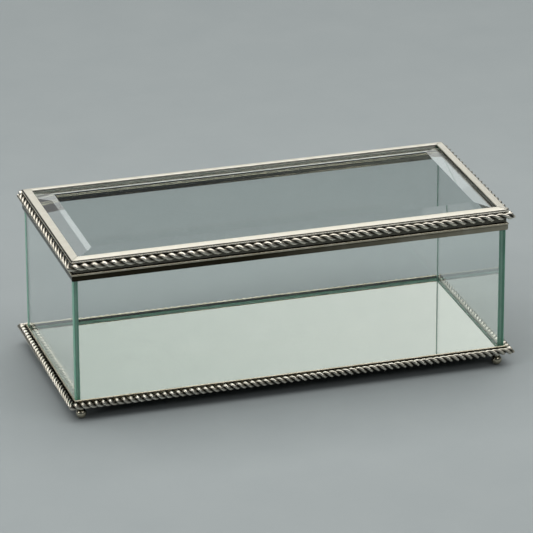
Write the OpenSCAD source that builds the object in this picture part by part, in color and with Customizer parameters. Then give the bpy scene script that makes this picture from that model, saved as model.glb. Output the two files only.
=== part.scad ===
// Glass vanity trinket box: four glass walls on a mirror floor, held between
// a plated tray with ball feet and a plated rim, under a hinged lid with a
// bevelled glass panel. Twisted rope trim runs round the tray and the lid.
// The origin is on the table under the middle of the box. X runs along the
// length, +Y points to the hinge and +Z points up. All sizes are millimetres.

/* [Glass] */
// Length of the glass box over its end panes
glass_l = 240.4; // [160:0.2:320]
// Depth of the glass box over its front and back panes
glass_d = 106.8; // [80:0.2:160]
// Thickness of the wall panes
pane_t = 3; // [2:0.1:4]
// Height of the wall panes
pane_h = 73.2; // [50:0.1:120]
// Thickness of the mirror floor
mirror_t = 2; // [1:0.1:3]

/* [Base tray] */
// Thickness of the tray's bottom sheet
tray_t = 0.6; // [0.4:0.1:1.5]
// Thickness of the tray's upright lip
lip_t = 1; // [0.6:0.1:2]
// Height of the lip above the tray's underside
lip_h = 4.6; // [3.6:0.1:8]
// Diameter of a ball foot
foot_d = 5.8; // [4:0.1:10]
// How far a foot's centre lies in from the tray's ends
foot_inset_x = 4.2; // [3.2:0.1:12]
// How far a foot's centre lies in from the tray's front and back
foot_inset_y = 3.2; // [3.2:0.1:12]
// Diameter of the solder stem above a ball foot
stem_d = 3; // [2:0.1:4]
// Height of that stem between the ball and the tray
stem_h = 1.2; // [0.4:0.1:2]

/* [Rope trim] */
// Diameter of the rope round the tray
base_rope_d = 3.8; // [3:0.1:6]
// Depth of the tray rope's centre below the lip's top edge
base_rope_drop = 2.5; // [2.2:0.1:4]
// Diameter of the rope round the lid
lid_rope_d = 3.8; // [3:0.1:5]
// Depth of the lid rope's centre below the lid's top face
lid_rope_drop = 3.9; // [3:0.1:4]
// Depth of the flat soldered along the back of each rope
rope_flat = 0.1; // [0.05:0.01:0.3]

/* [Rim] */
// Height of the rim that caps the wall panes
rim_h = 4.4; // [4:0.1:8]
// Thickness of the rim's two legs beside the glass
rim_leg_t = 1.2; // [0.8:0.1:2]
// Thickness of the rim's web over the top of the glass
rim_web_t = 1; // [0.6:0.1:2]
// Radius of the bead along the rim's top edges
rim_bead_r = 0.65; // [0.4:0.05:0.8]
// How far that bead stands proud of the rim's face
rim_bead_proud = 0.4; // [0.2:0.05:0.4]
// How far the rim's face swells between the bead and the foot
rim_swell = 0.12; // [0.05:0.01:0.15]

/* [Lid frame] */
// Length of the lid over its frame
lid_l = 240.8; // [160:0.2:320]
// Depth of the lid over its frame
lid_d = 107; // [80:0.2:160]
// Height of the lid frame
lid_h = 7.8; // [7.2:0.1:9]
// Gap between the closed lid and the rim
lid_gap = 0.3; // [0.2:0.05:0.6]
// Width of the smooth strip round the top of the lid, in from the wall
strip_w = 3.9; // [3.5:0.1:6]
// How far that strip falls towards the outside
strip_fall = 0.6; // [0.2:0.05:0.8]
// How far that strip reaches out past the wall
strip_over = 0.2; // [0:0.05:0.3]
// Thickness of the frame's outer wall
wall_t = 1.2; // [0.8:0.1:2]
// Thickness of the folded lip that holds the glass from below
fold_t = 1; // [0.6:0.1:1.5]
// Width of that folded lip, from the outer face
fold_w = 3; // [2:0.1:4]
// Diameter of the round roll that stiffens the folded lip along the back
roll_d = 2.7; // [2:0.1:2.7]
// How far that roll's centre lies in from the outer face
roll_in = 2.5; // [2.2:0.1:2.5]
// Radius along the inner edge of the top strip
edge_r = 0.4; // [0.2:0.1:0.6]
// Radius of the bead along the frame's outer top edge
bead_r = 0.55; // [0.5:0.05:0.6]
// How far that bead's centre lies outside the wall
bead_out = 0.5; // [0.3:0.05:0.5]
// Depth of that bead's centre below the lid's top
bead_drop = 1.55; // [1.5:0.05:1.7]
// Open seam left between two mitred members
seam = 0.3; // [0:0.05:0.6]

/* [Lid glass] */
// Full thickness of the lid glass
lid_glass_t = 5; // [4:0.1:6]
// Thickness left at the edge of the bevel
bevel_edge_t = 3.2; // [2:0.1:3.5]
// Width of the bevel that shows inside the frame
bevel_w = 10; // [5:0.5:20]
// Clearance round the glass inside the frame's wall
glass_clear = 0.2; // [0.1:0.05:0.5]

/* [Hinge] */
// Diameter of the hinge tubes
tube_d = 3.7; // [3:0.1:5]
// Diameter of the hinge pin
pin_d = 2; // [1.5:0.1:2.5]
// Radial running clearance between the pin and the lid's tube
pin_clear = 0.05; // [0.02:0.01:0.1]
// Length of each hinge tube fixed to the box
side_tube_l = 40; // [20:1:80]
// End gap between neighbouring tubes
tube_gap = 0.3; // [0.2:0.1:1]
// How far the pin's ends sit inside the tubes
pin_inset = 0.6; // [0:0.1:2]
// Thickness of the leaf that joins a tube to the rim
leaf_t = 1.4; // [1:0.1:1.8]

/* [Hidden] */
$fn = 48;
arc_steps = 6;
// Levels, from the table up
tray_z = foot_d + stem_h;
mirror_z = tray_z + tray_t;
pane_z = mirror_z + mirror_t;
lip_top_z = tray_z + lip_h;
pane_top_z = pane_z + pane_h;
rim_top_z = pane_top_z + rim_web_t;
rim_z = rim_top_z - rim_h;
lid_z = rim_top_z + lid_gap;
lid_top_z = lid_z + lid_h;
lid_glass_z = lid_top_z - lid_glass_t;
// Half sizes of the outer faces, as [along X, along Y]
glass_half = [glass_l / 2, glass_d / 2];
tray_half = glass_half + [lip_t, lip_t];
rim_half = glass_half + [rim_leg_t, rim_leg_t];
lid_half = [lid_l / 2, lid_d / 2];
base_rope_half = tray_half + [1, 1] * (base_rope_d / 2 - rope_flat);
lid_rope_half = lid_half + [1, 1] * (lid_rope_d / 2 - rope_flat);
base_rope_z = lip_top_z - base_rope_drop;
lid_rope_z = lid_top_z - lid_rope_drop;
// Radius that rounds the foot of the rim's legs
rim_foot_r = 0.7;
// The hinge lies on the line of the lid's rope, along the back
hinge_y = lid_half.y + lid_rope_d / 2 + 0.05;
hinge_z = lid_rope_z;
hinge_half_l = lid_half.x + 1.9;
lid_tube_half_l = hinge_half_l - side_tube_l - tube_gap;
far = 400;
nickel = [0.80, 0.78, 0.70];
bright_nickel = [0.90, 0.88, 0.80];
rope_metal = [0.70, 0.66, 0.58];
clear_glass = [0.70, 0.85, 0.82, 0.45];
mirror_silver = [0.78, 0.86, 0.84];

// Points of an arc round [cx, cy], from angle a to angle b.
function arc(cx, cy, r, a, b) = [
    for (i = [0 : arc_steps])
        let (t = a + (b - a) * i / arc_steps)
            [cx + r * cos(t), cy + r * sin(t)]
];

// Half size as seen by someone who faces the side: [along it, out to it].
function seen_from(side, half) = side % 2 == 0 ? half : [half.y, half.x];

// Stands a cross-section up on the side that faces "side" (0 front, 1 right,
// 2 back, 3 left) and carries it along that side, past both ends. In the
// cross-section, X is the distance outwards from the outer face at "half",
// and Y is the height.
module bar(side, half) {
    rotate([0, 0, side * 90])
        translate([-far / 2, -seen_from(side, half).y, 0])
            rotate([90, 0, 90])
                linear_extrude(far)
                    mirror([1, 0])
                        children();
}

// The same bar, mitred at both ends to join its neighbours. "joint" is the
// half seam taken off each end.
module member(side, half, joint = 0) {
    intersection() {
        bar(side, half)
            children();
        rotate([0, 0, side * 90])
            mitre_wedge(seen_from(side, half), joint);
    }
}

// The wedge of space, as seen from above, that a mitred member may fill.
module mitre_wedge(half, joint) {
    reach = min(half.x, half.y) - 1;
    spare = 10;
    slack = joint * sqrt(2) / 2;
    linear_extrude(far)
        polygon([
            [-half.x - spare + slack, -half.y - spare],
            [half.x + spare - slack, -half.y - spare],
            [half.x - reach - slack, -half.y + reach],
            [-half.x + reach + slack, -half.y + reach]
        ]);
}

// A length of rope trim as a plain round bar, with a flat soldered to the
// face that it lies along.
module rope(side, half, rope_z, rope_d) {
    member(side, half)
        difference() {
            translate([0, rope_z])
                circle(d = rope_d, $fn = 32);
            translate([-rope_d - rope_d / 2 + rope_flat, rope_z - rope_d])
                square([rope_d, 2 * rope_d]);
        }
}

// Cross-section of the tray's lip, with a round top edge.
module lip_section() {
    polygon(concat(
        [[-lip_t, tray_z], [0, tray_z]],
        arc(-lip_t / 2, lip_top_z - lip_t / 2, lip_t / 2, 0, 180)
    ));
}

// Outline of the rim's outer face, from the foot up to the middle of the top:
// a rounded foot, a face that swells a little, and a proud bead.
function rim_face() =
    let (
        face_x = -rim_bead_proud,
        bead_y = rim_top_z - rim_bead_r,
        swell_z = rim_z + rim_foot_r,
        swell_h = bead_y - rim_bead_r - swell_z,
        swell_r = (swell_h * swell_h / 4 + rim_swell * rim_swell) / (2 * rim_swell),
        swell_a = asin(swell_h / 2 / swell_r),
        bead_a = acos(1 - rim_bead_proud / rim_bead_r)
    )
    concat(
        arc(face_x - rim_foot_r, swell_z, rim_foot_r, -90, -20),
        arc(
            face_x + rim_swell - swell_r, swell_z + swell_h / 2,
            swell_r, -swell_a, swell_a
        ),
        arc(-rim_bead_r, bead_y, rim_bead_r, -bead_a, 90)
    );

// Cross-section of the rim: a channel that caps the glass, with the same face
// inside the box as outside.
module rim_section() {
    middle = -rim_leg_t - pane_t / 2;
    outer = rim_face();
    last = len(outer) - 1;
    difference() {
        polygon(concat(
            outer,
            [for (i = [0 : last]) [2 * middle - outer[last - i].x, outer[last - i].y]]
        ));
        translate([-rim_leg_t - pane_t, rim_z - 1])
            square([pane_t, pane_top_z - rim_z + 1]);
    }
}

// Cross-section of the lid frame: a strip that falls a little outwards, on a
// wall with a ledge for the edge of the glass. A bead runs along the outer top
// edge, with a groove between it and the strip.
module lid_section() {
    strip_z = lid_top_z - strip_fall;
    ledge_z = lid_glass_z - fold_t;
    land_z = lid_glass_z + bevel_edge_t;
    polygon(concat(
        [[0, lid_z]],
        arc(
            bead_out, lid_top_z - bead_drop, bead_r,
            -180 + acos(bead_out / bead_r), 140
        ),
        [
            [0, strip_z - 0.5],
            [strip_over, strip_z - 0.15],
            [strip_over - 0.05, strip_z]
        ],
        arc(-strip_w + edge_r, lid_top_z - edge_r, edge_r, 90, 180),
        [
            [-strip_w, land_z],
            [-wall_t, land_z],
            [-wall_t, lid_glass_z],
            [-fold_w, lid_glass_z],
            [-fold_w, ledge_z],
            [-wall_t, ledge_z],
            [-wall_t, lid_z]
        ]
    ));
}

module base_tray() {
    color(nickel)
        union() {
            for (side = [0 : 3])
                member(side, tray_half)
                    lip_section();
            translate([-tray_half.x, -tray_half.y, tray_z])
                cube([2 * tray_half.x, 2 * tray_half.y, tray_t]);
        }
}

module mirror_floor() {
    color(mirror_silver)
        translate([-glass_half.x, -glass_half.y, mirror_z])
            cube([glass_l, glass_d, mirror_t]);
}

// A ball foot with a small flat worn under it and a stem soldered to the tray.
module foot(x_side, y_side) {
    centre_z = foot_d / 2 - 0.1;
    color(bright_nickel)
        translate([
            x_side * (tray_half.x - foot_inset_x),
            y_side * (tray_half.y - foot_inset_y),
            0
        ])
            union() {
                difference() {
                    translate([0, 0, centre_z])
                        sphere(d = foot_d);
                    translate([-foot_d, -foot_d, -foot_d])
                        cube([2 * foot_d, 2 * foot_d, foot_d]);
                }
                translate([0, 0, centre_z])
                    cylinder(d = stem_d, h = tray_z - centre_z);
            }
}

// A long pane at the front (-1) or the back (1).
module long_pane(y_side) {
    color(clear_glass)
        translate([
            -glass_half.x,
            y_side * (glass_half.y - pane_t / 2) - pane_t / 2,
            pane_z
        ])
            cube([glass_l, pane_t, pane_h]);
}

// A short pane at the left (-1) or the right (1), between the long panes.
module end_pane(x_side) {
    color(clear_glass)
        translate([
            x_side * (glass_half.x - pane_t / 2) - pane_t / 2,
            -glass_half.y + pane_t,
            pane_z
        ])
            cube([pane_t, glass_d - 2 * pane_t, pane_h]);
}

module rim_member(side) {
    color(nickel)
        member(side, rim_half)
            rim_section();
}

module base_rope(side) {
    color(rope_metal)
        rope(side, base_rope_half, base_rope_z, base_rope_d);
}

// The lid's rope stops at the hinge, so its two side lengths are cut square.
module lid_rope(side) {
    color(rope_metal)
        difference() {
            rope(side, lid_rope_half, lid_rope_z, lid_rope_d);
            translate([-far / 2, lid_half.y, 0])
                cube([far, far, far]);
        }
}

// A side of the lid frame. Along the back, the folded lip carries a round
// roll below the glass, which shows through it as a bright tube.
module lid_frame(side) {
    color(bright_nickel)
        member(side, lid_half, seam / 2) {
            lid_section();
            if (side == 2)
                translate([-roll_in, lid_glass_z - roll_d / 2 - 0.05])
                    circle(d = roll_d);
        }
}

// Bevelled glass: a thin flat edge inside the frame, then a slope up to the
// full thickness. The slopes are cut away by a wedge along each side.
module lid_glass() {
    inset = wall_t + glass_clear;
    rise = lid_glass_t - bevel_edge_t;
    color(clear_glass)
        difference() {
            translate([-lid_half.x + inset, -lid_half.y + inset, lid_glass_z])
                cube([lid_l - 2 * inset, lid_d - 2 * inset, lid_glass_t]);
            for (side = [0 : 3])
                bar(side, lid_half)
                    bevel_section(rise);
        }
}

// Cross-section of what the grinding wheel takes off one side of the glass.
module bevel_section(rise) {
    land_z = lid_glass_z + bevel_edge_t;
    polygon([
        [1, land_z],
        [-strip_w, land_z],
        [-strip_w - bevel_w, land_z + rise],
        [-strip_w - bevel_w, land_z + rise + 1],
        [1, land_z + rise + 1]
    ]);
}

// A round bar along X, from x0 to x1, on the hinge's axis.
module hinge_bar(x0, x1, d) {
    translate([x0, hinge_y, hinge_z])
        rotate([0, 90, 0])
            cylinder(d = d, h = x1 - x0);
}

// A hinge tube fixed to the rim by its leaf, at the left (-1) or right (1).
// The leaf is fitted to the rim's face and bead.
module side_tube(x_side) {
    x0 = x_side < 0 ? -hinge_half_l : hinge_half_l - side_tube_l;
    leaf_z = rim_z + rim_foot_r;
    leaf_y = rim_half.y - rim_bead_proud - 0.1;
    leaf_inset = 2;
    color(bright_nickel)
        difference() {
            union() {
                hinge_bar(x0, x0 + side_tube_l, tube_d);
                translate([x0 + leaf_inset, leaf_y, leaf_z])
                    cube([side_tube_l - 2 * leaf_inset, leaf_t, hinge_z - leaf_z]);
            }
            hinge_bar(x0 - 1, x0 + side_tube_l + 1, pin_d);
            bar(2, rim_half)
                rim_section();
        }
}

// The long hinge tube that turns with the lid, soldered along its back wall.
module hinge_tube_lid() {
    saddle_h = 2;
    saddle_w = hinge_y - lid_half.y;
    color(bright_nickel)
        difference() {
            union() {
                hinge_bar(-lid_tube_half_l, lid_tube_half_l, tube_d);
                translate([-lid_tube_half_l, lid_half.y, hinge_z - saddle_h / 2])
                    cube([2 * lid_tube_half_l, saddle_w, saddle_h]);
            }
            hinge_bar(-hinge_half_l, hinge_half_l, pin_d + 2 * pin_clear);
        }
}

module hinge_pin() {
    color(nickel)
        hinge_bar(-hinge_half_l + pin_inset, hinge_half_l - pin_inset, pin_d);
}

base_tray();
mirror_floor();
base_rope(0);  // base_rope_front
base_rope(1);  // base_rope_right
base_rope(2);  // base_rope_back
base_rope(3);  // base_rope_left
foot(-1, -1);  // foot_front_left
foot(1, -1);  // foot_front_right
foot(-1, 1);  // foot_back_left
foot(1, 1);  // foot_back_right
long_pane(-1);  // front_glass
long_pane(1);  // back_glass
end_pane(-1);  // left_glass
end_pane(1);  // right_glass
rim_member(0);  // rim_front
rim_member(1);  // rim_right
rim_member(2);  // rim_back
rim_member(3);  // rim_left
side_tube(-1);  // hinge_tube_left
side_tube(1);  // hinge_tube_right
hinge_pin();
hinge_tube_lid();
lid_glass();
lid_frame(0);  // lid_frame_front
lid_frame(2);  // lid_frame_back
lid_frame(3);  // lid_frame_left
lid_frame(1);  // lid_frame_right
lid_rope(0);  // lid_rope_front
lid_rope(1);  // lid_rope_right
lid_rope(3);  // lid_rope_left
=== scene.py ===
# %% [markdown]
# # A glass vanity trinket box
# This lesson dresses a glass box with a hinged lid. The sizes and the hinge
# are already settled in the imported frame, so each cell only makes a better
# surface for a piece that is there. The metal is polished nickel plate, the
# walls are clear float glass, the floor is a mirror and the lid is bevelled.

# %% Load the frame
import math

import bpy
import numpy as np
from mathutils import Matrix, Vector


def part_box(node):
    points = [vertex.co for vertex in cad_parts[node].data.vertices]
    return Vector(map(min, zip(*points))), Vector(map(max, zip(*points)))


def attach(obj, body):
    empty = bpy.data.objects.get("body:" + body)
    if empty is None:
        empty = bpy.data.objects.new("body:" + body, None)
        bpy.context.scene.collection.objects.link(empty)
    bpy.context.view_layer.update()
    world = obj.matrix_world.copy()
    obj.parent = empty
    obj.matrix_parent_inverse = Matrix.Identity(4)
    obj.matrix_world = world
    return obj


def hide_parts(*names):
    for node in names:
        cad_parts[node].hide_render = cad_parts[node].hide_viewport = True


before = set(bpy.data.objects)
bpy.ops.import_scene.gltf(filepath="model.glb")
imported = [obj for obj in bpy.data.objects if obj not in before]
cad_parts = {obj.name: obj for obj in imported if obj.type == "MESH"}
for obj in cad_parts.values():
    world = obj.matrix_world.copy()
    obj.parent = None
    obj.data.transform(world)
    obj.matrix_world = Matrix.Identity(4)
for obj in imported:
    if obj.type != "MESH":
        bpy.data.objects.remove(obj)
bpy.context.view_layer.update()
MM = 0.001

# %% [markdown]
# ## Measures
# The workshop measures in millimetres, and the frame in metres. Each driving
# size is read from the frame, so a piece made here lies where its plain
# version does.

# %% Read the driving sizes from the frame


def span(node):
    """Lowest and highest corners of a node, in millimetres."""
    low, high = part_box(node)
    return np.array(low) / MM, np.array(high) / MM


pane_low, pane_high = span("front_glass")
tray_low, tray_high = span("base_tray")
mirror_low, mirror_high = span("mirror_floor")
rim_low, rim_high = span("rim_front")
lid_low, lid_high = span("lid_frame_front")
plate_low, plate_high = span("lid_glass")
pin_low, pin_high = span("hinge_pin")

PANE_T = pane_high[1] - pane_low[1]
GLASS_CLEAR = 1.4
glass_half = np.array([pane_high[0], -pane_low[1]])
tray_half = np.array([tray_high[0], tray_high[1]])
rim_half = np.array([rim_high[0], -rim_low[1]])
lid_half = np.array([plate_high[0], plate_high[1]]) + GLASS_CLEAR
hinge_y = (pin_low[1] + pin_high[1]) / 2
hinge_z = (pin_low[2] + pin_high[2]) / 2
print("glass", glass_half, "tray", tray_half, "rim", rim_half, "lid", lid_half)

# %% [markdown]
# ## Camera
# A long lens seen from the left, a little above, keeps the box's edges almost
# parallel. The camera is placed by its angles round a point in the middle of
# the box, and turned a hair about its own axis.

# %% Place the camera
CAMERA_AZIMUTH = math.radians(-16.88)
CAMERA_ELEVATION = math.radians(22.51)
CAMERA_ROLL = math.radians(-0.267)
CAMERA_DISTANCE = 2.224
CAMERA_TARGET = Vector((0.00162, 0.0, 0.05173))
CAMERA_LENS = 275.8

back = Vector((
    math.sin(CAMERA_AZIMUTH) * math.cos(CAMERA_ELEVATION),
    -math.cos(CAMERA_AZIMUTH) * math.cos(CAMERA_ELEVATION),
    math.sin(CAMERA_ELEVATION),
))
level_right = Vector((math.cos(CAMERA_AZIMUTH), math.sin(CAMERA_AZIMUTH), 0))
level_up = back.cross(level_right)
right = level_right * math.cos(CAMERA_ROLL) + level_up * math.sin(CAMERA_ROLL)
up = back.cross(right)

camera = bpy.data.objects.new("camera", bpy.data.cameras.new("camera"))
camera.data.lens = CAMERA_LENS
camera.data.sensor_width = 36
camera.data.clip_end = 20
turn = Matrix((right, up, back)).transposed().to_4x4()
camera.matrix_world = Matrix.Translation(CAMERA_TARGET + back * CAMERA_DISTANCE) @ turn
bpy.context.scene.collection.objects.link(camera)
bpy.context.scene.camera = camera
print("camera at", [round(v, 3) for v in camera.matrix_world.translation])

# %% [markdown]
# ## Shader sums in plain Python
# A material's pattern is a sum of small steps. One small class wraps a node's
# output, so that a sum of masks is written as an expression, and each
# operator adds the Math node that does it. Every other node comes from one
# method, which takes the node's type, its settings and its inputs.

# %% A socket that can be added, multiplied and compared


class Wire:
    """One output socket, with the operators that this scene uses.

    Each operator adds a Math node that does the same sum on the two values.
    """

    def __init__(self, tree, socket):
        self.tree = tree
        self.socket = socket

    def node(self, kind, settings=None, out=0, **inputs):
        """Adds a node: settings first, then its sockets by name or number."""
        made = self.tree.nodes.new(kind)
        for key, value in (settings or {}).items():
            setattr(made, key, value)
        for key, value in inputs.items():
            target = made.inputs[int(key[1:]) if key[1:].isdigit() else key.replace("_", " ")]
            if isinstance(value, Wire):
                self.tree.links.new(value.socket, target)
            else:
                target.default_value = value
        return Wire(self.tree, made.outputs[out])

    def math(self, operation, a, b=0.0):
        """A Math node on a and b, either of which may be a number."""
        return self.node("ShaderNodeMath", {"operation": operation}, _0=a, _1=b)

    def __add__(self, other):
        return self.math("ADD", self, other)

    __radd__ = __add__

    def __sub__(self, other):
        return self.math("SUBTRACT", self, other)

    def __rsub__(self, other):
        return self.math("SUBTRACT", other, self)

    def __mul__(self, other):
        return self.math("MULTIPLY", self, other)

    def __truediv__(self, other):
        return self.math("DIVIDE", self, other)

    def __abs__(self):
        return self.math("ABSOLUTE", self)

    def clamp(self):
        """The value kept between 0 and 1."""
        return self.node("ShaderNodeClamp", _0=self)

    def mix(self, low, high):
        """The colour low where this is 0, and high where it is 1."""
        return self.node(
            "ShaderNodeMix", {"data_type": "RGBA"}, out=2, _0=self, _6=low, _7=high
        )


def start_material(name):
    """A new material, its Principled shader and a Wire of Object coordinates."""
    material = bpy.data.materials.new(name)
    material.use_nodes = True
    tree = material.node_tree
    shader = tree.nodes["Principled BSDF"]
    place = tree.nodes.new("ShaderNodeTexCoord")
    return material, shader, Wire(tree, place.outputs["Object"])


def feed(shader, name, wire):
    """Links a Wire to one of the shader's sockets."""
    wire.tree.links.new(wire.socket, shader.inputs[name])


print("shader sums ready")

# %% [markdown]
# ## Nickel plate
# Plated brass is bright but never perfect. Polishing leaves hair-fine lines
# along the length, the plate is a little warmer and duller in patches, and
# the metal under it is not quite flat, so reflections waver. Three noises do
# this: one stretched along the piece for the lines, one broad for the dull
# patches and one slow for the wavering surface. Shade is painted in as a dark
# colour: in grooves, crevices and between rope strands, on undersides and on
# faces that stay dark. Where it sits is a sum of soft steps on the height, and
# in the ropes on a value kept with each point.

# %% Make the nickel finishes


def nickel(
    name, colour, dull_colour, rough, grain=(1, 1, 1), lines=0.15, waver=0.2, slant=0,
    shade=None, gloss=None,
):
    """Plated metal. Grain stretches the polishing lines along one axis.

    Shade gives where dark shade is painted in, and gloss where brushed metal is polished.
    """
    material, shader, place = start_material(name)
    stretched = place.node(
        "ShaderNodeMapping", Vector=place, Scale=tuple(900.0 * g for g in grain),
        Rotation=(0, 0, math.radians(slant)),
    )
    hair = place.node(
        "ShaderNodeTexNoise", Vector=stretched, Scale=1.0, Detail=4.0, Roughness=0.7
    )
    patch = place.node(
        "ShaderNodeTexNoise", Vector=place, Scale=160.0, Detail=3.0, Roughness=0.6
    )
    slow = place.node(
        "ShaderNodeTexNoise", Vector=place, Scale=45.0, Detail=1.0, Roughness=0.4
    )
    worn = ((patch - 0.42) * 3.0).clamp()
    tone = (worn * 0.7 + hair * 0.3).clamp()
    plate = tone.mix((*dull_colour, 1), (*colour, 1))
    roughness = rough + (1 - worn) * 0.06 + hair * 0.05
    scratched = hair
    if gloss:
        polished = gloss(place)
        roughness = roughness - polished * (rough - 0.08)
        scratched = hair * (1 - polished)
    if shade:
        # Painted shade: the plate's colour is mixed towards a dark colour where shade falls,
        # and made a little rougher.
        painted_shade = shade(place)
        plate = painted_shade.mix(plate, (*SHADE_PAINT, 1))
        roughness = roughness + painted_shade * 0.08
    feed(shader, "Base Color", plate)
    feed(shader, "Roughness", roughness)
    shader.inputs["Metallic"].default_value = 1.0
    flow = place.node(
        "ShaderNodeBump", Strength=waver, Distance=0.0006, Height=slow
    )
    scratch = place.node(
        "ShaderNodeBump", Strength=lines, Distance=0.00003, Height=scratched, Normal=flow
    )
    feed(shader, "Normal", scratch)
    return material


ALONG_X = (0.03, 1, 1)
ALONG_Y = (1, 0.03, 1)
# The dark colour that is painted in as shade.
SHADE_PAINT = (0.022, 0.019, 0.011)
CREAM = (0.95, 0.92, 0.83)
CREAM_DULL = (0.82, 0.79, 0.69)
WARM = (0.62, 0.58, 0.48)
DULL = (0.42, 0.38, 0.28)
ROPE = (0.82, 0.79, 0.72)
ROPE_DULL = (0.58, 0.54, 0.45)


# Depths of the lid's and the rim's features below their tops, and how far in
# the lid strip's inner drop starts, in millimetres. These bound the bands of painted shade.
BEAD_FROM = 0.95
GROOVE_FROM, GROOVE_TO = 0.72, 1.12
WALL_FROM = 2.0
DROP_IN = 3.75
FACE_FROM = 1.35
CREVICE_TO = 1.65
ROLL_DEEP = 1.4


def level(place):
    """Height in millimetres."""
    return place.node("ShaderNodeSeparateXYZ", out=2, Vector=place) * 1000


def past(wire, start, soft):
    """0 below the start and 1 above it, over a soft width."""
    return ((wire - start) / soft + 0.5).clamp()


def lid_outwards(place):
    """Distance out from the lid's wall: the larger of its X and Y distances."""
    x = place.node("ShaderNodeSeparateXYZ", out=0, Vector=place)
    y = place.node("ShaderNodeSeparateXYZ", out=1, Vector=place)
    return (abs(x) * 1000 - lid_half[0]).math("MAXIMUM", abs(y) * 1000 - lid_half[1])


def lid_painted_shade(place):
    """Painted shade in the groove, on the wall under the bead and on the inner drop.

    The bead itself gets only a little painted shade.
    """
    height = level(place)
    bead = (1 - past(height, lid_high[2] - BEAD_FROM, 0.1)) * 0.35
    groove_top = past(height, lid_high[2] - GROOVE_FROM, 0.12)
    groove = past(height, lid_high[2] - GROOVE_TO, 0.12) - groove_top
    wall = 1 - past(height, lid_high[2] - WALL_FROM, 0.2)
    drop = 1 - past(lid_outwards(place), -DROP_IN, 0.1)
    return (groove + wall + drop + bead).clamp() * 0.92


def lid_gloss(place):
    """The bead is polished, and the strip above it is brushed."""
    return 1 - past(level(place), lid_high[2] - 0.9, 0.1)


def rim_painted_shade(place):
    """Painted shade in the crevice under the bead, and on the face, more to the left."""
    height = level(place)
    face = 1 - past(height, rim_high[2] - FACE_FROM, 0.15)
    crevice = face * past(height, rim_high[2] - CREVICE_TO, 0.15)
    x = place.node("ShaderNodeSeparateXYZ", out=0, Vector=place) * 1000
    leftwards = 1 - past(x, 50, 140)
    return (face * (leftwards * 0.58 + 0.41) + crevice * 0.3).clamp()


def tray_painted_shade(place):
    """Painted shade everywhere but on the rolled top edge of the lip."""
    return (1 - past(level(place), tray_high[2] - 0.4, 0.15)) * 0.85


def hinge_painted_shade(place):
    """Painted shade on the lower part of the hinge, which the light from above doesn't reach.
    """
    return (1 - past(level(place), hinge_z + 0.5, 0.9)) * 0.9


def roll_painted_shade(place):
    """Painted shade on the lower half of the roll below the lid glass."""
    return (1 - past(level(place), plate_low[2] - ROLL_DEEP - 0.3, 0.6)) * 0.9


def rope_painted_shade(place):
    """Painted shade deep between the strands, from the groove value of each point."""
    groove = place.node("ShaderNodeAttribute", {"attribute_name": "groove"}, out=2)
    return past(groove, 0.3, 0.35) * 0.95


finishes = {
    "lid_x": nickel(
        "nickel lid long", CREAM, CREAM_DULL, 0.42, ALONG_X, 0.6, slant=38,
        shade=lid_painted_shade, gloss=lid_gloss,
    ),
    "lid_y": nickel(
        "nickel lid end", CREAM, CREAM_DULL, 0.42, ALONG_Y, 0.6, slant=-38,
        shade=lid_painted_shade, gloss=lid_gloss,
    ),
    "rim_x": nickel("nickel rim long", WARM, DULL, 0.10, ALONG_X, shade=rim_painted_shade),
    "rim_y": nickel("nickel rim end", WARM, DULL, 0.10, ALONG_Y, shade=rim_painted_shade),
    "tray": nickel("nickel tray", WARM, DULL, 0.10, shade=tray_painted_shade),
    "rope": nickel("nickel rope", ROPE, ROPE_DULL, 0.20, waver=0.05, shade=rope_painted_shade),
    "foot": nickel("nickel foot", WARM, DULL, 0.08, waver=0.05),
    "roll": nickel(
        "nickel roll", CREAM, CREAM_DULL, 0.30, ALONG_X, waver=0.05, shade=roll_painted_shade
    ),
    "hinge": nickel(
        "nickel hinge", CREAM, CREAM_DULL, 0.14, ALONG_X, waver=0.05, shade=hinge_painted_shade
    ),
}
print(len(finishes), "nickel finishes")

# %% [markdown]
# ## Glass and mirror
# Clear glass shows mostly by what it bends and by its cut edges. Light that
# has run the whole length of a pane comes out of the edge deep green, with a
# paler streak in the middle of the thickness. So the broad faces take a
# barely tinted glass, and the cut edges have that green light painted on as
# their colour, with the paler streak painted along the middle. The lid's
# long bevels refract harder than the rest, which keeps their inner line clear.
# Towards the left end the mirror is painted darker, as painted shade.

# %% Make the glass finishes


def clear_glass(name, tint, bend=1.5):
    """Clear float glass with the faintest unevenness. Bend is how hard it refracts."""
    material, shader, place = start_material(name)
    ripple = place.node(
        "ShaderNodeTexNoise", Vector=place, Scale=30.0, Detail=1.0, Roughness=0.4
    )
    smear = place.node(
        "ShaderNodeTexNoise", Vector=place, Scale=80.0, Detail=4.0, Roughness=0.6
    )
    cleaner = ((smear - 0.45) * 4.0).clamp()
    duller = tuple(0.985 * c for c in tint)
    feed(shader, "Base Color", cleaner.mix((*duller, 1), (*tint, 1)))
    feed(shader, "Roughness", (1 - cleaner) * 0.01)
    shader.inputs["Transmission Weight"].default_value = 1.0
    shader.inputs["IOR"].default_value = bend
    feed(shader, "Normal", place.node(
        "ShaderNodeBump", Strength=0.05, Distance=0.0005, Height=ripple
    ))
    return material


def cut_edge(name, deep, pale, axis, outer_face, thick):
    """Painted colour for the green light that has run the length of a pane.

    The streak is 1 on the middle of the thickness and falls to 0 at both faces.
    """
    material, shader, place = start_material(name)
    along = place.node("ShaderNodeSeparateXYZ", out=axis, Vector=place)
    depth = (outer_face - abs(along)) / thick
    middle = (1 - abs(depth * 2 - 1) * 1.6).clamp()
    cloud = place.node(
        "ShaderNodeTexNoise", Vector=place, Scale=120.0, Detail=3.0, Roughness=0.6
    )
    band = (middle * 0.8 + (cloud - 0.5) * 0.7).clamp()
    feed(shader, "Base Color", band.mix((*deep, 1), (*pale, 1)))
    shader.inputs["Roughness"].default_value = 0.22
    shader.inputs["Transmission Weight"].default_value = 0.1
    shader.inputs["IOR"].default_value = 1.5
    return material


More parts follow.
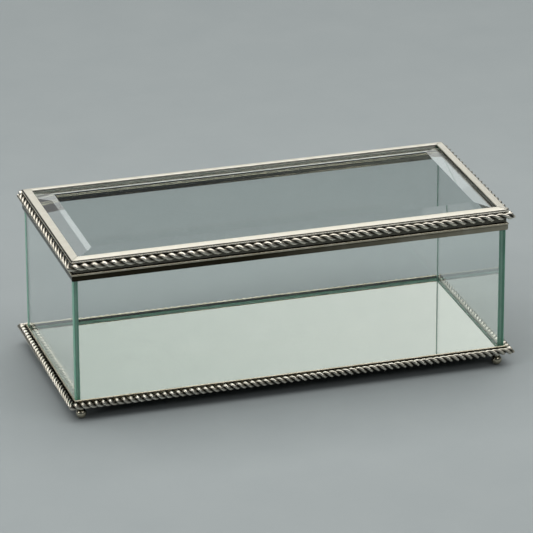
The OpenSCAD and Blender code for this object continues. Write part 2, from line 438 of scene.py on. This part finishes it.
EDGE_DEEP = (0.20, 0.55, 0.38)
EDGE_PALE = (0.50, 0.86, 0.70)
wall_clear = clear_glass("wall glass", (0.945, 0.975, 0.965))
long_edge = cut_edge(
    "long pane edge", EDGE_DEEP, EDGE_PALE, 1, glass_half[1] * MM, PANE_T * MM
)
side_edge = cut_edge(
    "side pane edge", EDGE_DEEP, EDGE_PALE, 0, glass_half[0] * MM, PANE_T * MM
)
mirror_edge = cut_edge(
    "mirror edge", EDGE_DEEP, EDGE_PALE, 2, mirror_high[2] * MM,
    (mirror_high[2] - mirror_low[2]) * MM,
)
lid_clear = clear_glass("lid glass", (0.93, 0.97, 0.96))
lid_slope = clear_glass("lid glass long bevel", (0.93, 0.97, 0.96), 1.72)
lid_edge = cut_edge(
    "lid glass edge", EDGE_DEEP, EDGE_PALE, 2, plate_high[2] * MM,
    (plate_high[2] - plate_low[2]) * MM,
)

mirror_face, silver, place = start_material("mirror silver")
cloud = place.node("ShaderNodeTexNoise", Vector=place, Scale=60.0, Detail=4.0, Roughness=0.6)
rightwards = past(place.node("ShaderNodeSeparateXYZ", out=0, Vector=place) * 1000, 0, 260)
# Painted shade: the mirror's colour darkens towards the left end, with a little random tone
# mixed in.
painted_shade_and_tone = (rightwards * 0.8 + cloud * 0.2).clamp()
feed(silver, "Base Color", painted_shade_and_tone.mix((0.54, 0.58, 0.53, 1), (0.90, 0.88, 0.82, 1)))
feed(silver, "Roughness", cloud * 0.03)
silver.inputs["Metallic"].default_value = 1.0
silver.inputs["Coat Weight"].default_value = 1.0
print("glass, cut edges and mirror ready")

# %% [markdown]
# ## Surfaces from arrays
# Every shape below is a grid: rows of points joined to the next row by
# four-sided faces. One helper writes the faces of a grid, one closes its ends
# and turns it the right way out, and one puts it into a mesh.

# %% Grid helpers


def grid_faces(rows, columns):
    """Faces of a tube of rows x columns points, closed round each row."""
    row = np.arange(rows - 1)[:, None]
    column = np.arange(columns)[None, :]
    beside = (column + 1) % columns
    corners = [
        row * columns + column,
        row * columns + beside,
        (row + 1) * columns + beside,
        (row + 1) * columns + column,
    ]
    return np.stack(np.broadcast_arrays(*corners), axis=-1).reshape(-1, 4)


def signed_volume(points, faces):
    """A sixth of the sum of triple products: positive if faces look out."""
    total = 0.0
    for face in faces:
        first = points[face[..., 0]]
        for k in range(1, face.shape[-1] - 1):
            a = points[face[..., k]]
            b = points[face[..., k + 1]]
            total += np.einsum("ij,ij->", first, np.cross(a, b))
    return total / 6


def capped_tube(grid):
    """Points and faces of a tube grid with a face over each end."""
    rows, columns, _ = grid.shape
    points = grid.reshape(-1, 3)
    faces = [
        grid_faces(rows, columns),
        np.arange(columns)[::-1][None, :],
        (rows - 1) * columns + np.arange(columns)[None, :],
    ]
    if signed_volume(points, faces) < 0:
        faces = [face[:, ::-1] for face in faces]
    return points, faces


def make_piece(name, points, faces, materials, crease=35, index=None, groove=None):
    """A mesh object from points in millimetres, smooth but for sharp edges.

    Groove, if given, is a value for each point that a material may read.
    """
    mesh = bpy.data.meshes.new(name)
    listed = [list(map(int, face)) for block in faces for face in block]
    mesh.from_pydata((np.asarray(points) * MM).tolist(), [], listed)
    for material in materials:
        mesh.materials.append(material)
    if index is not None:
        mesh.polygons.foreach_set("material_index", index)
    if groove is not None:
        mesh.attributes.new("groove", "FLOAT", "POINT").data.foreach_set("value", groove)
    mesh.shade_smooth()
    mesh.set_sharp_from_angle(angle=math.radians(crease))
    mesh.update()
    piece = bpy.data.objects.new(name, mesh)
    bpy.context.scene.collection.objects.link(piece)
    return piece


def settle(piece, node, body):
    """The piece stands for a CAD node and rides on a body."""
    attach(piece, body)
    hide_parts(node)
    return piece


def face_side(points, side):
    """Turns points made for the front (0) to the right (1), back (2), left (3)."""
    turns = [(1, 0), (0, 1), (-1, 0), (0, -1)]
    c, s = turns[side]
    x, y, z = np.moveaxis(points, -1, 0)
    return np.stack([c * x - s * y, s * x + c * y, z], axis=-1)


def seen_from(side, half):
    """Half size for someone facing the side: (along it, out to it)."""
    return (half[0], half[1]) if side % 2 == 0 else (half[1], half[0])


def arc(cx, cy, radius, start, end, steps=8):
    """Points on an arc round (cx, cy), with the angles in degrees."""
    angle = np.radians(np.linspace(start, end, steps + 1))
    return np.stack([cx + radius * np.cos(angle), cy + radius * np.sin(angle)], axis=-1)


print("grid helpers ready")

# %% [markdown]
# ## Mitred metal strips
# The rim, the lid frame and the tray's lip are all one idea: a strip of metal
# folded to a cross-section, cut at 45 degrees and soldered at the corners. A
# cross-section is a closed outline of (distance outwards, height). It is
# carried along its side, and each point's run ends on the mitre plane, which
# lies further out by exactly the point's own distance outwards.

# %% Carry a cross-section along a side


def strip(section, side, half, joint=0.0, start_at=None, end_at=None):
    """Grid of a mitred strip, from one end's outline to the other's.

    A point's run is the side's half length plus its own distance outwards, less
    the joint. start_at or end_at cut an end square instead.
    """
    along, out = seen_from(side, half)
    outwards = section[:, 0]
    first = -along - outwards + joint if start_at is None else np.full(len(section), start_at)
    last = along + outwards - joint if end_at is None else np.full(len(section), end_at)
    x = np.stack([first, last])
    y = np.broadcast_to(-out - outwards[None, :], x.shape)
    z = np.broadcast_to(section[None, :, 1], x.shape)
    return face_side(np.stack([x, y, z], axis=-1), side)


SIDES = ["front", "right", "back", "left"]
print("a strip's ends meet its neighbours at 45 degrees")

# %% [markdown]
# ## The tray and its lip
# The tray is a flat sheet with a lip that stands round the foot of the glass.
# The lip's top edge is rolled, which draws the thin bright line along it.

# %% Make the tray
LIP_T = tray_half[0] - glass_half[0]
LIP_TOP = tray_high[2]
SHEET_TOP = mirror_low[2]
SHEET_LAP = 0.3


def join(parts):
    """One set of points and face blocks from several."""
    points, blocks, offset = [], [], 0
    for some_points, some_faces in parts:
        points.append(some_points)
        blocks.extend(face + offset for face in some_faces)
        offset += len(some_points)
    return np.concatenate(points), blocks


lip_section = np.concatenate([
    arc(-LIP_T + 0.15, tray_low[2] + 0.15, 0.15, 180, 270, 3),
    arc(-0.5, tray_low[2] + 0.5, 0.5, 270, 360, 5),
    arc(-LIP_T / 2, LIP_TOP - LIP_T / 2, LIP_T / 2, 0, 180, 12),
])
tray_parts = [capped_tube(strip(lip_section, side, tray_half)) for side in range(4)]
sheet = tray_half - LIP_T + SHEET_LAP
sheet_loop = np.array([[-1, -1], [1, -1], [1, 1], [-1, 1]]) * sheet
sheet_grid = np.stack([
    np.column_stack([sheet_loop, np.full(4, height)])
    for height in (tray_low[2], SHEET_TOP - 0.02)
])
tray_parts.append(capped_tube(sheet_grid))
# Everything but the rolled top edge of the lip carries painted shade, which sets off the
# bright line.
base_tray = make_piece("base_tray_plate", *join(tray_parts), [finishes["tray"]])
settle(base_tray, "base_tray", "box")
print("tray lip", LIP_T, "mm thick, top at", LIP_TOP, "mm")

# %% [markdown]
# ## The rim over the glass
# The rim is a channel pressed over the top edges of the four panes. Each leg
# has a proud bead along its top edge, a face that swells a little and a
# rounded foot, inside and outside alike. The bead shows as a bright line with
# a dark one right under it, and the face as a dark band.

# %% Make the four rim strips
LEG_T = rim_half[0] - glass_half[0]
BEAD_R = 0.65
BEAD_PROUD = 0.4
SWELL = 0.12
FOOT_R = 0.7
PANE_TOP = pane_high[2]
bead_z = rim_high[2] - BEAD_R
swell_z = rim_low[2] + FOOT_R
swell_h = bead_z - BEAD_R - swell_z
swell_r = (swell_h**2 / 4 + SWELL**2) / (2 * SWELL)
swell_a = math.degrees(math.asin(swell_h / 2 / swell_r))
bead_a = math.degrees(math.acos(1 - BEAD_PROUD / BEAD_R))
rim_face = np.concatenate([
    arc(-BEAD_PROUD - FOOT_R, swell_z, FOOT_R, -90, -20),
    arc(-BEAD_PROUD + SWELL - swell_r, swell_z + swell_h / 2, swell_r, -swell_a, swell_a),
    arc(-BEAD_R, bead_z, BEAD_R, -bead_a, 90, 14),
])
inner_face = rim_face[::-1] * (-1, 1) - (2 * LEG_T + PANE_T, 0)
rim_section = np.concatenate([
    [[-LEG_T, rim_low[2] + 0.02]], rim_face, inner_face,
    [
        [-LEG_T - PANE_T, rim_low[2] + 0.02],
        [-LEG_T - PANE_T, PANE_TOP],
        [-LEG_T, PANE_TOP],
    ],
])
# The dark line under the bead and the dark band on the face are deepened by painted shade in
# the rim finishes, darker towards the left end.
for side, word in enumerate(SIDES):
    finish = finishes["rim_x" if side % 2 == 0 else "rim_y"]
    points, faces = capped_tube(strip(rim_section, side, rim_half, 0.05))
    piece = make_piece("rim_strip_" + word, points, faces, [finish])
    settle(piece, "rim_" + word, "box")
print("rim from", rim_low[2], "to", rim_high[2])

# %% [markdown]
# ## The lid frame
# The lid frame's top strip is the brightest metal on the box. It falls a
# little towards the outside, so it mirrors the lights above, and it is
# brushed rather than polished. Its corners are mitred with a fine dark seam. A
# round bead runs along the outer top edge, with a groove inside it. Below, the
# wall hangs past the ledge that carries the glass. Along the back that ledge
# is stiffened by a round roll, which shows through the glass as a bright tube.

# %% Make the four lid strips
STRIP_W = 3.9
STRIP_FALL = 0.6
STRIP_OVER = 0.2
WALL_T = 1.2
FOLD_T = 1.0
FOLD_W = 3.0
EDGE_R = 0.4
LID_BEAD_R = 0.55
LID_BEAD_OUT = 0.5
LID_BEAD_DROP = 1.55
SEAM = 0.3
ROLL_R = 1.35
ROLL_IN = 2.5
LID_Z, LID_TOP = lid_low[2], lid_high[2]
GLASS_T = 5.0
LEDGE_TOP = LID_TOP - GLASS_T
LAND_Z = LEDGE_TOP + 3.2
bead_start = -180 + math.degrees(math.acos(LID_BEAD_OUT / LID_BEAD_R))
lid_section = np.concatenate([
    [[-0.1, LID_Z], [0, LID_Z + 0.1]],
    arc(LID_BEAD_OUT, LID_TOP - LID_BEAD_DROP, LID_BEAD_R, bead_start, 140, 20),
    [
        [0, LID_TOP - STRIP_FALL - 0.5],
        [STRIP_OVER, LID_TOP - STRIP_FALL - 0.15],
        [STRIP_OVER - 0.05, LID_TOP - STRIP_FALL],
    ],
    arc(-STRIP_W + EDGE_R, LID_TOP - EDGE_R, EDGE_R, 90, 180),
    [
        [-STRIP_W, LAND_Z],
        [-WALL_T, LAND_Z],
        [-WALL_T, LEDGE_TOP],
        [-FOLD_W, LEDGE_TOP],
        [-FOLD_W, LEDGE_TOP - FOLD_T],
        [-WALL_T, LEDGE_TOP - FOLD_T],
        [-WALL_T, LID_Z],
    ],
])
for side, word in enumerate(SIDES):
    finish = finishes["lid_x" if side % 2 == 0 else "lid_y"]
    parts = [capped_tube(strip(lid_section, side, lid_half, SEAM * 0.7))]
    if word == "back":
        circle = arc(-ROLL_IN, LEDGE_TOP - ROLL_R - 0.05, ROLL_R, 0, 352.5, 47)
        parts.append(capped_tube(strip(circle, side, lid_half, SEAM * 0.7)))
    points, blocks = join(parts)
    strip_faces = sum(map(len, parts[0][1]))
    index = [0] * strip_faces + [1] * (sum(map(len, blocks)) - strip_faces)
    piece = make_piece(
        "lid_strip_" + word, points, blocks, [finish, finishes["roll"]], 25, index
    )
    settle(piece, "lid_frame_" + word, "lid")
print("four lid strips,", STRIP_W, "mm wide")

# %% [markdown]
# ## Panes, mirror and bevelled plate
# A pane is a stack of rectangles through its thickness: a slightly smaller
# one at each broad face, where the sharp arris has been rubbed off, and the
# full outline between. The bevelled plate is the same idea with one more
# step, from its thin edge up the slope to the full thickness.

# %% Make the glass
RUBBED = 0.25
GLASS_AIR = 0.04


def rectangle(low, high, height):
    """Four corners of a rectangle lying at a height."""
    return np.array([
        [low[0], low[1], height], [high[0], low[1], height],
        [high[0], high[1], height], [low[0], high[1], height],
    ])


def rubbed_slab(low, high):
    """Grid of a slab lying flat, with its arrises rubbed off."""
    a, b = low[2], high[2]
    levels = [(a, RUBBED), (a + RUBBED, 0), (b - RUBBED, 0), (b, RUBBED)]
    return np.stack([
        rectangle(low[:2] + inset, high[:2] - inset, height) for height, inset in levels
    ])


def stand_up(points, thin_axis):
    """Swaps axes so that a flat slab's thickness lies along the given axis."""
    order = {1: [0, 2, 1], 0: [2, 1, 0], 2: [0, 1, 2]}[thin_axis]
    return points[..., order]


def pane(name, node, thin_axis):
    """A pane that stands for a node, thin along x (0) or y (1)."""
    low, high = span(node)
    low, high = low + GLASS_AIR, high - GLASS_AIR
    grid = rubbed_slab(stand_up(low, thin_axis), stand_up(high, thin_axis))
    points, faces = capped_tube(stand_up(grid, thin_axis))
    index = [1] * len(faces[0]) + [0, 0]
    edge = long_edge if thin_axis == 1 else side_edge
    piece = make_piece(name, points, faces, [wall_clear, edge], 5, index)
    return settle(piece, node, "box")


pane("pane_front", "front_glass", 1)
pane("pane_back", "back_glass", 1)
pane("pane_left", "left_glass", 0)
pane("pane_right", "right_glass", 0)

mirror_grid = rubbed_slab(mirror_low + GLASS_AIR, mirror_high - GLASS_AIR)
points, faces = capped_tube(mirror_grid)
index = [1] * len(faces[0]) + [0, 0]
mirror_plate = make_piece("mirror_plate", points, faces, [mirror_face, mirror_edge], 5, index)
settle(mirror_plate, "mirror_floor", "box")
print("four panes and the mirror, arrises rubbed", RUBBED, "mm")

# %% Make the bevelled plate
BEVEL_W = 10.0
low, high = plate_low + GLASS_AIR, plate_high - GLASS_AIR
bottom, top = plate_low[2] + GLASS_AIR, plate_high[2]
land_high = lid_half - STRIP_W
land_low = -land_high
plate_grid = np.stack([
    rectangle(low[:2] + RUBBED, high[:2] - RUBBED, bottom),
    rectangle(low[:2], high[:2], bottom + RUBBED),
    rectangle(low[:2], high[:2], LAND_Z - GLASS_AIR),
    rectangle(land_low, land_high, LAND_Z - GLASS_AIR),
    rectangle(land_low + BEVEL_W, land_high - BEVEL_W, top),
])
points, faces = capped_tube(plate_grid)
SIDE_FACES, LAND_FACES = [1] * 8, [0] * 4
SLOPE_FACES = [2, 0, 2, 0]
index = SIDE_FACES + LAND_FACES + SLOPE_FACES + [0, 0]
plate = make_piece(
    "bevelled_plate", points, faces, [lid_clear, lid_edge, lid_slope], 5, index
)
settle(plate, "lid_glass", "lid")
print("bevel rises", round(top - LAND_Z, 2), "mm over", BEVEL_W, "mm")

# %% [markdown]
# ## Twisted rope trim
# The trim is wire rope. Its surface is a function of two parameters: how far
# along the rope, and which way round. The cross-section is the outline of a
# few round strands laid side by side, and it turns steadily along the rope,
# once in each lay. Seen from the side, each strand makes one hump per turn,
# so a long lay gives the lazy twist of the lid's rope and a short lay the
# tighter twist of the tray's.

# %% Make a rope surface
ROUND = 40
PER_HUMP = 14
HAND = -1
ROPE_AIR = 0.01


def strand_outline(angle, strands, centre, size):
    """Distance out to the union of round strands, at an angle from the axis."""
    sector = 2 * math.pi / strands
    off = (angle + sector / 2) % sector - sector / 2
    inside = np.maximum(size**2 - (centre * np.sin(off)) ** 2, 0)
    return centre * np.cos(off) + np.sqrt(inside)


def rope_grid(side, half, height, radius, hump, square_at=None):
    """Grid of a rope whose axis lies at half, and how deep each point lies.

    The outline turns once in a lay, which is one hump for each strand.
    square_at cuts the back end square at that distance.
    """
    along, out = seen_from(side, half)
    length = 2 * along
    rows = int(length / hump * PER_HUMP) + 1
    t = np.linspace(0, 1, rows)[:, None]
    around = np.linspace(0, 2 * math.pi, ROUND, endpoint=False)[None, :]
    twist = HAND * 2 * math.pi * (t * length) / (hump * STRANDS)
    reach = radius * strand_outline(around - twist, STRANDS, STRAND_OUT, STRAND_R)
    outwards = reach * np.cos(around)
    upwards = reach * np.sin(around)
    first = -along - outwards
    last = along + outwards
    if square_at is not None:
        if side == 3:
            first = np.full_like(outwards, -square_at)
        else:
            last = np.full_like(outwards, square_at)
    x = first * (1 - t) + last * t
    y = -out - outwards
    depth = 1 - reach / radius
    return face_side(np.stack([x, y, height + upwards], axis=-1), side), depth


# How far out the strands' centres lie, and their own radius, as parts of the
# rope's radius.
STRANDS = 2
STRAND_OUT, STRAND_R = 0.46, 0.54
print("a rope has", ROUND, "points round and", PER_HUMP, "rows to a hump")

# %% Lay the ropes round the tray and the lid


def lay_rope(piece_name, node, side, hump, body, square_at=None):
    """A rope that stands for a node, with its axis found from the node's box."""
    low, high = span(node)
    radius = (high[2] - low[2]) / 2
    height = (high[2] + low[2]) / 2
    outer = np.maximum(abs(low), abs(high))
    half = outer[:2] - radius
    if square_at is not None:
        # Its back end lies at the hinge, so its box doesn't tell where the front
        # rope runs. That rope stands out from the lid as far as this one does.
        half = np.array([outer[0], outer[0] + lid_half[1] - lid_half[0]]) - radius
    grid, depth = rope_grid(side, half, height, radius - ROPE_AIR, hump, square_at)
    points, faces = capped_tube(grid)
    piece = make_piece(
        piece_name, points, faces, [finishes["rope"]], 60, groove=depth.ravel()
    )
    return settle(piece, node, body)


TRAY_HUMP = 3.75
LID_HUMP = 5.25
for side, word in enumerate(SIDES):
    lay_rope("tray_rope_" + word, "base_rope_" + word, side, TRAY_HUMP, "box")
lay_rope("lid_twist_front", "lid_rope_front", 0, LID_HUMP, "lid")
lay_rope("lid_twist_right", "lid_rope_right", 1, LID_HUMP, "lid", lid_half[1])
lay_rope("lid_twist_left", "lid_rope_left", 3, LID_HUMP, "lid", lid_half[1])
print("seven lengths of rope laid")

# %% [markdown]
# ## Ball feet and hinge
# These are turned pieces, so each is a profile spun round an axis. A foot is
# a ball with a worn flat below and a neck of solder above. A hinge tube is a
# ring-shaped profile, spun into a tube with softened ends. Each of the two
# outer tubes carries a leaf, a short strip that joins it to the back rim.

# %% Turn the feet
TURNED = 48


def spin(profile, points_round=TURNED):
    """Grid of a profile of (radius, height) spun round the upright axis."""
    angle = np.linspace(0, 2 * math.pi, points_round, endpoint=False)[None, :]
    radius, height = profile[:, 0][:, None], profile[:, 1][:, None]
    return np.stack([
        radius * np.cos(angle), radius * np.sin(angle),
        np.broadcast_to(height, (len(profile), points_round)),
    ], axis=-1)


BALL_R = 2.9
BALL_CUT = 0.1
NECK_R = 1.5
FLAT_A = math.degrees(math.asin((BALL_R - BALL_CUT) / (BALL_R - 0.005)))
for word in ("front_left", "front_right", "back_left", "back_right"):
    low, high = span("foot_" + word)
    centre = np.array([(low[0] + high[0]) / 2, (low[1] + high[1]) / 2, 0])
    ball = arc(0, BALL_R - BALL_CUT, BALL_R - 0.005, -FLAT_A, 57, 26)
    neck = np.array([[NECK_R + 0.02, high[2] - 0.35], [NECK_R + 0.45, high[2] - 0.02]])
    profile = np.concatenate([[[ball[0, 0], 0.0]], ball, neck])
    points, faces = capped_tube(spin(profile) + centre)
    piece = make_piece("ball_foot_" + word, points, faces, [finishes["foot"]], 50)
    settle(piece, "foot_" + word, "box")
print("four ball feet,", 2 * BALL_R, "mm across")

# %% Turn the hinge tubes and the pin
TUBE_END_R = 0.25


def lie_along_x(points):
    """Turns a shape spun round the upright axis to lie on the hinge's axis."""
    x, y, z = np.moveaxis(points, -1, 0)
    return np.stack([z, hinge_y + x, hinge_z + y], axis=-1)


def tube(x0, x1, outer_r, bore_r):
    """Points and faces of a tube with softened outer ends."""
    profile = np.concatenate([
        [[bore_r, x0]],
        arc(outer_r - TUBE_END_R, x0 + TUBE_END_R, TUBE_END_R, -90, 0, 4),
        arc(outer_r - TUBE_END_R, x1 - TUBE_END_R, TUBE_END_R, 0, 90, 4),
        [[bore_r, x1], [bore_r, x0]],
    ])
    grid = lie_along_x(spin(profile))
    rows, columns, _ = grid.shape
    points = grid[:-1].reshape(-1, 3)
    faces = grid_faces(rows, columns) % len(points)
    if signed_volume(points, [faces]) < 0:
        faces = faces[:, ::-1]
    return points, [faces]


TUBE_R = 1.85
PIN_R = (pin_high[2] - pin_low[2]) / 2
RUN_CLEAR = 0.05
LEAF_OUT = 0.95
LEAF_INSET = 2.0
for word in ("left", "right"):
    low, high = span("hinge_tube_" + word)
    leaf_section = np.array([
        [-0.22, low[2]], [LEAF_OUT - 0.1, low[2]], [LEAF_OUT, low[2] + 0.1],
        [LEAF_OUT, hinge_z - PIN_R - 0.2], [0.02, hinge_z - PIN_R - 0.2],
        [0.02, bead_z - BEAD_R - 0.05], [-0.22, bead_z - BEAD_R - 0.15],
    ])
    leaf = capped_tube(strip(
        leaf_section, 2, rim_half,
        start_at=-high[0] + LEAF_INSET, end_at=-low[0] - LEAF_INSET,
    ))
    points, faces = join([tube(low[0], high[0], TUBE_R, PIN_R), leaf])
    piece = make_piece("side_hinge_tube_" + word, points, faces, [finishes["hinge"]])
    settle(piece, "hinge_tube_" + word, "box")

low, high = span("hinge_tube_lid")
points, faces = tube(low[0], high[0], TUBE_R, PIN_R + RUN_CLEAR)
lid_tube = make_piece("long_hinge_tube", points, faces, [finishes["hinge"]])
settle(lid_tube, "hinge_tube_lid", "lid")

pin_profile = np.concatenate([
    [[0.3, pin_low[0]]],
    arc(PIN_R - 0.3, pin_low[0] + 0.3, 0.28, -90, 0, 4),
    arc(PIN_R - 0.3, pin_high[0] - 0.3, 0.28, 0, 90, 4),
    [[0.3, pin_high[0]]],
])
points, faces = capped_tube(lie_along_x(spin(pin_profile)))
pin = make_piece("pin", points, faces, [finishes["hinge"]])
settle(pin, "hinge_pin", "box")
print("hinge on the line y", hinge_y, "z", hinge_z)

# %% [markdown]
# ## The studio
# Polished metal looks like whatever stands round it. One broad soft light
# hangs over the box, so every bead and rope strand carries a white line along
# its top. The room behind stays dim, and the lid glass shows it. A low
# white card close behind the box is seen by the mirror floor and not by the
# lid, because the lid's view of it passes over the card. Two small cards
# further back give the side bevels something to show, and soft lights at the
# left and in front add glints. The table is plain and pale.

# %% Set the table and the lights


def soft_light(name, place, aim, size, power, colour=(1, 1, 1)):
    """A rectangular light at a place, turned to aim at a point."""
    data = bpy.data.lights.new(name, "AREA")
    data.shape = "RECTANGLE"
    data.size, data.size_y = size
    data.energy = power
    data.color = colour
    light = bpy.data.objects.new(name, data)
    light.location = place
    light.rotation_euler = (Vector(aim) - Vector(place)).to_track_quat("-Z", "Y").to_euler()
    light.visible_camera = False
    bpy.context.scene.collection.objects.link(light)
    return light


table_mesh = bpy.data.meshes.new("table")
TABLE_HALF = 6.0
table_mesh.from_pydata([
    (-TABLE_HALF, -TABLE_HALF, 0), (TABLE_HALF, -TABLE_HALF, 0),
    (TABLE_HALF, TABLE_HALF, 0), (-TABLE_HALF, TABLE_HALF, 0),
], [], [(0, 1, 2, 3)])
table_paint, paint, place = start_material("table paint")
mottle = place.node("ShaderNodeTexNoise", Vector=place, Scale=25.0, Detail=5.0, Roughness=0.6)
feed(paint, "Base Color", mottle.mix((0.31, 0.345, 0.355, 1), (0.35, 0.385, 0.39, 1)))
paint.inputs["Roughness"].default_value = 0.6
table_mesh.materials.append(table_paint)
table = bpy.data.objects.new("table", table_mesh)
bpy.context.scene.collection.objects.link(table)

CENTRE = (0, 0, 0.05)
soft_light("overhead", (0.0, 0.2, 1.5), (0, 0.2, 0), (2.6, 2.2), 37, (1.0, 0.99, 0.965))
soft_light("left window", (-1.8, -0.5, 0.9), CENTRE, (0.3, 1.2), 6)
soft_light("front strip", (0.9, -1.8, 1.5), CENTRE, (1.6, 0.5), 6)
back_card = soft_light(
    "back card", (0.05, 0.35, 0.16), (0.05, 0, 0.02), (0.9, 0.095), 0.21, (0.97, 1.0, 0.97)
)
# Only mirrors and glass show this card, and it casts no light on the table.
back_card.visible_diffuse = False
soft_light("left bevel card", (0.12, 2.25, 1.17), CENTRE, (0.36, 0.3), 0.3)
soft_light("right bevel card", (1.09, 2.18, 0.65), CENTRE, (0.7, 0.5), 0.32)

world = bpy.data.worlds.new("room")
bpy.context.scene.world = world
world.use_nodes = True
world.node_tree.nodes["Background"].inputs["Color"].default_value = (0.30, 0.33, 0.35, 1)
world.node_tree.nodes["Background"].inputs["Strength"].default_value = 0.25
bpy.context.scene.view_settings.view_transform = "Standard"
print("six soft lights and a dim room")
